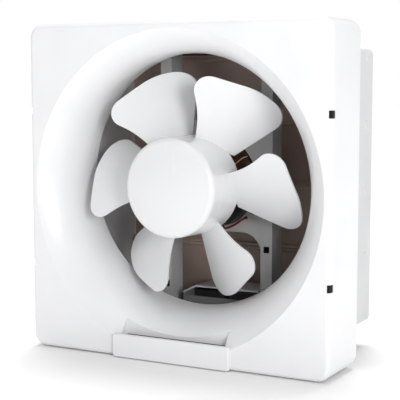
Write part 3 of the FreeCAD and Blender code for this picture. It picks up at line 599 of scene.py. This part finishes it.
@dataclass(frozen=True)
class Trim:
    """What a new piece is made of and what carries it."""

    material: bpy.types.Material
    slot: str
    body: Body = Body.FRAME

    def place(
        self, name: str, data: Union[bpy.types.Mesh, bpy.types.Curve]
    ) -> bpy.types.Object:
        """Puts a new piece into the scene.

        Args:
            name: The piece's name.
            data: Its mesh or curves.

        Returns:
            The piece.
        """
        data.materials.append(self.material)
        piece = bpy.data.objects.new(name, data)
        bpy.context.scene.collection.objects.link(piece)
        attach(piece, self.body.value)
        LOG.info("made %s", name)
        return piece


def mesh_of(name: str, shape: bmesh.types.BMesh) -> bpy.types.Mesh:
    """Turns a worked shape into a mesh and lets the shape go."""
    mesh = bpy.data.meshes.new(name)
    shape.to_mesh(mesh)
    shape.free()
    return mesh


def tube(
    name: str, lines: Sequence[Sequence[Vector]], radius: float, closed: bool, trim: Trim
) -> bpy.types.Object:
    """Makes round wires along lines of points.

    Args:
        name: The piece's name.
        lines: Points of each wire.
        radius: Half the wire's thickness.
        closed: Whether each wire joins its own start.
        trim: Its finish, slot and body.

    Returns:
        The piece.
    """
    data = bpy.data.curves.new(name, "CURVE")
    data.dimensions = "3D"
    data.bevel_depth = radius
    data.bevel_resolution = WIRE_STEPS
    for points in lines:
        spline = data.splines.new("POLY")
        spline.points.add(len(points) - 1)
        for target, point in zip(spline.points, points):
            target.co = (*point, 1.0)
        spline.use_cyclic_u = closed
        spline.use_smooth = True
    return trim.place(name, data)


def block(
    name: str, low: Vector, high: Vector, rounding: float, trim: Trim
) -> bpy.types.Object:
    """Makes a box with rounded edges.

    Args:
        name: The piece's name.
        low: Its lowest corner.
        high: Its highest corner.
        rounding: Radius of its edges.
        trim: Its finish, slot and body.

    Returns:
        The piece.
    """
    shape = bmesh.new()
    bmesh.ops.create_cube(shape, size=1.0)
    bmesh.ops.scale(shape, vec=high - low, verts=shape.verts)
    bmesh.ops.translate(shape, vec=(low + high) / 2, verts=shape.verts)
    bmesh.ops.bevel(
        shape, geom=shape.edges[:], offset=rounding, segments=EDGE_STEPS,
        profile=ROUND_PROFILE, affect="EDGES",
    )
    return trim.place(name, mesh_of(name, shape))


def disc(
    name: str, seat: Vector, side: Side, radii: tuple[float, float], thickness: float, trim: Trim
) -> bpy.types.Object:
    """Makes a round cap that lies on a wall across the x axis.

    Args:
        name: The piece's name.
        seat: The middle of its seat on the wall.
        side: The side that it faces.
        radii: Its radius at the seat and at its free side.
        thickness: How far it stands off the wall.
        trim: Its finish, slot and body.

    Returns:
        The piece.
    """
    outward = Vector((side.value, 0.0, 0.0))
    shape = bmesh.new()
    bmesh.ops.create_cone(
        shape, cap_ends=True, segments=DISC_SIDES, radius1=radii[0], radius2=radii[1],
        depth=thickness,
    )
    turn = Vector((0.0, 0.0, 1.0)).rotation_difference(outward).to_matrix()
    bmesh.ops.rotate(shape, cent=Vector(), matrix=turn, verts=shape.verts)
    bmesh.ops.translate(shape, vec=seat + outward * thickness / 2, verts=shape.verts)
    return trim.place(name, mesh_of(name, shape))


@dataclass
class Panel:
    """The front panel and its grip bar."""

    notch_level: float = 0.0805
    shade_width: float = 0.0034
    shade_depth: float = 0.0079
    shade_height: float = 0.0072
    shade_inset: float = 0.0005
    shade_round: float = 0.0003
    pocket_half: float = 0.0594
    pocket_back: float = 0.014
    pocket_reach: float = 0.012
    foot_thickness: float = 0.001
    foot_height: float = 0.0091
    foot_round: float = 0.0003

    def build(self, finishes: Finishes) -> None:
        """Dresses the panel and the bar, and adds black blocks in the notches and a dark strip
        in the pocket, both painted shade.
        """
        dress(["front_panel", "bell_mouth", "grip_bar"], finishes.panel)
        low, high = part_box("front_panel")
        # Black blocks in the right edge's notches: painted shade.
        black = Trim(finishes.notch_shade, "black_plastic")
        for name, level in (("upper", self.notch_level), ("lower", -self.notch_level)):
            self._shade_notch(f"notch_shade_block_{name}", high.x, low.y, level, black)
        # A dark strip at the pocket's foot: painted shadow.
        rubber_and_pocket_shadow = Trim(finishes.rubber_and_pocket_shadow, "black_rubber")
        self._pocket_shadow(low.y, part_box("grip_bar")[1].z, rubber_and_pocket_shadow)

    def _shade_notch(self, name: str, edge: float, front: float, level: float, trim: Trim) -> None:
        """Fills one notch of the right edge with a black block, painted shade for the notch's
        hollow.

        Args:
            name: The block's name.
            edge: The panel's side that the notch is cut in.
            front: The panel's front face.
            level: Height of the notch's middle.
            trim: Its finish, slot and body.
        """
        half = self.shade_height / 2
        low = Vector((edge - self.shade_width, front + self.shade_inset, level - half))
        high = Vector((edge - self.shade_inset, front + self.shade_depth, level + half))
        block(name, low, high, self.shade_round, trim)

    def _pocket_shadow(self, front: float, bar_top: float, trim: Trim) -> None:
        """Lays a dark strip along the foot of the finger pocket's back wall: painted shadow in
        the gap above the bar.

        Args:
            front: The panel's front face.
            bar_top: Height of the bar's upper edge.
            trim: Its finish, slot and body.
        """
        back = front + self.pocket_back
        foot = bar_top - self.pocket_reach
        low = Vector((-self.pocket_half, back - self.foot_thickness, foot))
        high = Vector((self.pocket_half, back, foot + self.foot_height))
        block("pocket_shadow_strip", low, high, self.foot_round, trim)


@dataclass
class Housing:
    """The wall housing, with its bush and louvres."""

    louvres: int = 4
    wall: float = 0.0025
    strip_gap: float = 0.0014
    strip_depth: float = 0.003
    strip_drop: float = 0.004
    strip_half: float = 0.138
    strip_round: float = 0.0006
    cap_radii: tuple[float, float] = (0.0042, 0.0034)
    cap_thickness: float = 0.0008

    def build(self, finishes: Finishes) -> None:
        """Dresses the housing and its louvres, seals the top louvre with a dark strip that is
        partly painted shade, and caps the pivots.
        """
        walls = [f"duct_{side}" for side in ("left", "right", "top", "bottom")]
        louvres = [f"louvre_{number}" for number in range(1, self.louvres + 1)]
        dress(["wall_flange"] + walls, finishes.housing)
        dress(louvres + ["tie_rod"], finishes.louvre)
        dress(["cable_grommet"], finishes.rubber_and_pocket_shadow)
        # The dark strip above the top louvre is partly painted shade.
        self._seal(Trim(finishes.gap_shade_foam, "brown_louvre"))
        self._cap_pivots(louvres, Trim(finishes.housing, "white_housing"))

    def _seal(self, trim: Trim) -> None:
        """Glues a strip to the duct's ceiling, behind the top louvre's lip; it closes the gap
        above the lip, and its dark colour is painted shade there.
        """
        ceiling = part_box("duct_top")[1].z - self.wall
        front = joint_place("louvre_1_swing").y + self.strip_gap
        low = Vector((-self.strip_half, front, ceiling - self.strip_drop))
        high = Vector((self.strip_half, front + self.strip_depth, ceiling))
        block("top_gap_shade_strip", low, high, self.strip_round, trim)

    def _cap_pivots(self, louvres: Sequence[str], trim: Trim) -> None:
        """Covers the outer ends of each louvre's pivots.

        Args:
            louvres: Names of the louvres.
            trim: The caps' finish, slot and body.
        """
        faces = {Side.LEFT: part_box("duct_left")[0].x, Side.RIGHT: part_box("duct_right")[1].x}
        for number, louvre in enumerate(louvres, 1):
            pivot = joint_place(f"{louvre}_swing")
            for side, face in faces.items():
                seat = Vector((face, pivot.y, pivot.z))
                name = f"pivot_cap_{number}_{side.name.lower()}"
                disc(name, seat, side, self.cap_radii, self.cap_thickness, trim)


@dataclass
class Impeller:
    """The impeller, its cap and its drive."""

    def build(self, finishes: Finishes) -> None:
        """Dresses the blades, the cap and the drive."""
        dress(["impeller", "hub_cap"], finishes.blades)
        even_out("hub_cap")
        dress(["impeller_washer", "impeller_nut", "thrust_washers"], finishes.zinc)
        dress(["motor_shaft", "drive_pin"], finishes.steel)


@dataclass
class EndTurns:
    """The wires and lacing of one end of the motor's winding."""

    node: str
    core_side: float
    inner_radius: float = 0.029
    rounding: float = 0.004
    wire_radius: float = 0.00045
    wire_pitch: float = 0.001
    least_wires: int = 2
    layer_step: float = 0.0009
    wander: float = 0.00022
    waves: tuple[int, int, int] = (3, 7, 13)
    wave_shift: float = 1.7
    steps: int = 90
    ties: int = 21
    tie_radius: float = 0.00055
    tie_lean: float = 0.05

    def build(self, finishes: Finishes, centre: Vector) -> None:
        """Winds the wires over the bundle and ties them.

        Args:
            finishes: The fan's finishes.
            centre: A point on the motor's axis.
        """
        outline = self._outline(self.wire_radius)
        under = self._outline(self.wire_radius + self.layer_step)
        wires = [self._turn(number, spot, centre) for number, spot in enumerate(outline + under)]
        lacing = [self._tie(number, outline, centre) for number in range(self.ties)]
        copper = Trim(finishes.copper, "copper_winding")
        piece = tube(f"{self.node}_wires", wires, self.wire_radius, True, copper)
        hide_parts(self.node)
        cord = Trim(finishes.lacing, "copper_winding")
        tube(f"{self.node}_ties", lacing, self.tie_radius + self.wander, False, cord)

    def _outline(self, inset: float) -> list[tuple[float, float]]:
        """The bundle's outline in radius and y, from the core round its free side and back.

        Args:
            inset: How far the outline lies inside the bundle's own.

        Returns:
            Points about a wire's pitch apart.
        """
        low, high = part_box(self.node)
        outer = (high.x - low.x) / 2 - inset
        inner = self.inner_radius + inset
        away = -self.core_side
        seat = (high.y if self.core_side > 0 else low.y) + away * self.wire_radius
        free = (low.y if self.core_side > 0 else high.y) - away * inset
        corners = [
            (inner, seat),
            (inner, free - away * self.rounding),
            (inner + self.rounding, free),
            (outer - self.rounding, free),
            (outer, free - away * self.rounding),
            (outer, seat),
        ]
        dense: list[tuple[float, float]] = []
        for (r0, y0), (r1, y1) in zip(corners, corners[1:]):
            length = math.hypot(r1 - r0, y1 - y0)
            count = max(self.least_wires, round(length / self.wire_pitch))
            turning = r0 != r1 and y0 != y1
            rising = abs(y1 - free) < abs(y0 - free)
            for k in range(count):
                across, along = self._shares(k / count, turning, rising)
                dense.append((r0 + (r1 - r0) * across, y0 + (y1 - y0) * along))
        return dense

    @staticmethod
    def _shares(share: float, turning: bool, rising: bool) -> tuple[float, float]:
        """How far a point has come along one side of the outline.

        Args:
            share: The point's share of the side.
            turning: Whether the side is a rounded corner.
            rising: Whether that corner turns toward the free side.

        Returns:
            Its shares of the side's extent in radius and in y.
        """
        if not turning:
            return share, share
        quarter = share * math.pi / 2
        slow, quick = 1 - math.cos(quarter), math.sin(quarter)
        return (slow, quick) if rising else (quick, slow)

    def _turn(self, number: int, spot: tuple[float, float], centre: Vector) -> list[Vector]:
        """One wire's turn round the axis, which wanders a little.

        Args:
            number: The wire's number.
            spot: Its radius and y.
            centre: A point on the motor's axis.

        Returns:
            Its points.
        """
        radius, y = spot
        points: list[Vector] = []
        for step in range(self.steps):
            angle = 2 * math.pi * step / self.steps
            phases = [wave * angle + number * wave * self.wave_shift for wave in self.waves]
            sway = sum(math.sin(phase) for phase in phases) / len(phases)
            reach = radius + sway * self.wander
            place = Vector((reach * math.cos(angle), y - centre.y, reach * math.sin(angle)))
            points.append(centre + place)
        return points

    def _tie(
        self, number: int, outline: Sequence[tuple[float, float]], centre: Vector
    ) -> list[Vector]:
        """One loop of lacing over the bundle.

        Args:
            number: The loop's number.
            outline: The bundle's outline in radius and y.
            centre: A point on the motor's axis.

        Returns:
            Its points.
        """
        angle = 2 * math.pi * number / self.ties
        points: list[Vector] = []
        for k, (radius, y) in enumerate(outline):
            swung = angle + self.tie_lean * k / len(outline)
            outward = Vector((math.cos(swung), 0.0, math.sin(swung)))
            points.append(centre + outward * radius + Vector((0.0, y - centre.y, 0.0)))
        return points


@dataclass
class Motor:
    """The open motor on its bracket, with the wires of its end turns."""

    axis: Vector = field(default_factory=lambda: joint_place("rotor_spin"))

    def build(self, finishes: Finishes) -> None:
        """Dresses the motor and winds the end turns."""
        dress(["motor_bracket"], finishes.bracket)
        dress(["motor_front_bell", "motor_rear_bell"], finishes.bells)
        dress(["stator_core", "rotor_core"], finishes.core)
        dress(["motor_bolts", "motor_nuts", "bracket_screws"], finishes.zinc)
        dress(["front_bearing_retainer", "rear_bearing_retainer"], finishes.zinc)
        dress(["front_bearing", "rear_bearing"], finishes.bronze)
        dress(["rotor_end_rings"], finishes.cast)
        EndTurns("front_winding", 1.0).build(finishes, self.axis)
        EndTurns("rear_winding", -1.0).build(finishes, self.axis)


@dataclass
class TerminalBox:
    """The terminal box on the housing floor and the leads that reach it."""

    def build(self, finishes: Finishes) -> None:
        """Dresses the box, what is in it and the leads."""
        dress(["terminal_tray"], finishes.tray)
        dress(["terminal_cover"], finishes.cover)
        dress(["terminal_block", "capacitor", "lead_clip"], finishes.black)
        dress(["terminal_screws"], finishes.zinc)
        dress(["motor_lead_red"], finishes.red)
        dress(["motor_lead_grey"], finishes.dark)


def hang(
    name: str, data: Union[bpy.types.Light, bpy.types.Camera], place: Vector, toward: Vector
) -> bpy.types.Object:
    """Puts a lamp or the camera into the scene.

    Args:
        name: Its name.
        data: The lamp or the camera.
        place: Where it stands.
        toward: The direction that it faces.

    Returns:
        The object.
    """
    made = bpy.data.objects.new(name, data)
    made.location = place
    made.rotation_euler = toward.to_track_quat("-Z", "Y").to_euler()
    bpy.context.scene.collection.objects.link(made)
    return made


@dataclass(frozen=True)
class SoftBox:
    """One studio light."""

    name: str
    place: Triple
    size: float
    watts: float

    def build(self, aim: Vector) -> None:
        """Hangs the light and turns it to the aim."""
        data = bpy.data.lights.new(self.name, "AREA")
        data.shape = "DISK"
        data.size = self.size
        data.energy = self.watts
        place = Vector(self.place)
        hang(self.name, data, place, aim - place)


@dataclass(frozen=True)
class SkyLight:
    """One wide light of even strength from far away."""

    name: str
    toward: Triple
    spread: float
    strength: float

    def build(self) -> None:
        """Hangs the light and turns it."""
        data = bpy.data.lights.new(self.name, "SUN")
        data.angle = math.radians(self.spread)
        data.energy = self.strength
        hang(self.name, data, Vector(), Vector(self.toward))


@dataclass
class Studio:
    """The floor, the light and the camera."""

    eye: Vector = field(default_factory=lambda: Vector((0.543, -1.0095, 0.1060)))
    aim: Vector = field(default_factory=lambda: Vector((-0.0050, 0.0, -0.0123)))
    lens: float = 99.27
    sensor: float = 36.0
    floor_drop: float = 0.0008
    floor_half: float = 12.0
    floor_clouds: Noise = Noise(3.0)
    floor_tones: tuple[float, float] = (0.93, 0.95)
    floor_roughness: float = 0.9
    world_level: float = 0.5
    lights: tuple[SoftBox, ...] = (
        SoftBox("key", (1.30, -1.22, 0.27), 0.45, 11.0),
        SoftBox("fill", (0.1, -0.9, 2.0), 1.2, 5.0),
    )
    top_light: SkyLight = SkyLight("top", (0.12, -0.3, -1.0), 35.0, 2.0)

    def build(self) -> None:
        """Sets up the floor, the world, the lights and the camera."""
        self._floor()
        self._world()
        for light in self.lights:
            light.build(self.aim)
        self.top_light.build()
        self._camera()
        bpy.context.scene.view_settings.view_transform = "Standard"

    def _floor(self) -> None:
        """Lays a pale floor just under the fan."""
        shape = bmesh.new()
        bmesh.ops.create_grid(shape, x_segments=1, y_segments=1, size=self.floor_half)
        mesh = mesh_of("floor", shape)
        graph = Graph("floor_pale")
        clouds = graph.noise(graph.place(), self.floor_clouds)
        colour = graph.mixed(clouds, *(grey(tone) for tone in self.floor_tones))
        mesh.materials.append(
            graph.surface({"Base Color": colour, "Roughness": self.floor_roughness})
        )
        floor = bpy.data.objects.new("floor", mesh)
        floor.location.z = CAD_BOX[0].z - self.floor_drop
        bpy.context.scene.collection.objects.link(floor)

    def _world(self) -> None:
        """Surrounds the fan with even white light, in front of a white background."""
        world = bpy.data.worlds.new("studio")
        world.use_nodes = True
        tree = world.node_tree
        light = tree.nodes["Background"]
        light.inputs["Color"].default_value = grey(1.0)
        light.inputs["Strength"].default_value = self.world_level
        paper = tree.nodes.new("ShaderNodeBackground")
        paper.inputs["Color"].default_value = grey(1.0)
        path = tree.nodes.new("ShaderNodeLightPath")
        choice = tree.nodes.new("ShaderNodeMixShader")
        tree.links.new(path.outputs["Is Camera Ray"], choice.inputs[0])
        tree.links.new(light.outputs[0], choice.inputs[1])
        tree.links.new(paper.outputs[0], choice.inputs[2])
        tree.links.new(choice.outputs[0], tree.nodes["World Output"].inputs["Surface"])
        bpy.context.scene.world = world

    def _camera(self) -> None:
        """Stands the camera where the photograph was taken from."""
        data = bpy.data.cameras.new("camera")
        data.lens = self.lens
        data.sensor_width = self.sensor
        data.sensor_fit = "HORIZONTAL"
        bpy.context.scene.camera = hang("camera", data, self.eye, self.aim - self.eye)


def main() -> None:
    """Builds the fan's sub-assemblies and the studio."""
    logging.basicConfig(level=logging.INFO)
    finishes = Finishes()
    for assembly in (Panel(), Housing(), Impeller(), Motor(), TerminalBox()):
        assembly.build(finishes)
    Studio().build()


if __name__ == "__main__":
    main()
